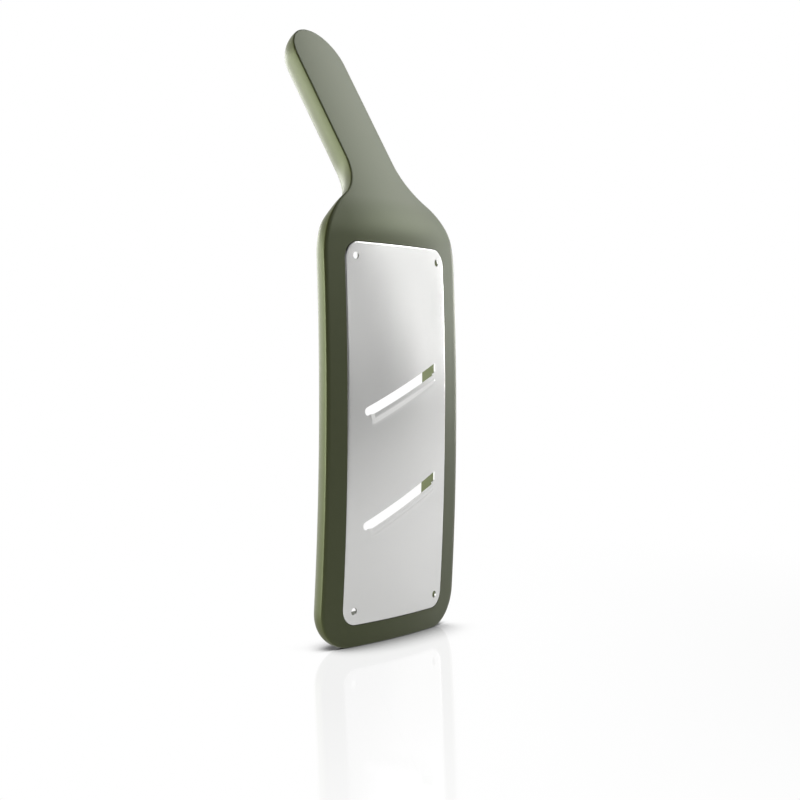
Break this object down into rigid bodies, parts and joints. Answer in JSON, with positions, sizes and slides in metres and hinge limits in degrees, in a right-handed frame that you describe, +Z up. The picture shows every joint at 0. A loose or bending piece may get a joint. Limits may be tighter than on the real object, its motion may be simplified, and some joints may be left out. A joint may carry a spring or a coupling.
{
  "type": "vegetable slicer",
  "caption": "Hand-held slicer: a bowed steel plate with slanting pressed blades, held in a soft-covered frame whose handle bends back.",
  "frame": {"origin": "under the middle of the bounding box, on the plane that the foot stands on", "axes": "+Z up from the foot to the handle, -Y out of the cutting face, +X to the right of someone facing the cutting face; the handle leans back to +Y"},
  "size_m": [0.1114, 0.0764, 0.3267],
  "materials": {
    "core": "matte",
    "cover": "satin",
    "plate": "satin"
  },
  "bodies": {
    "root": {"frame_core": "core", "soft_cover": "cover", "slicing_plate": "plate"}
  },
  "joints": []
}
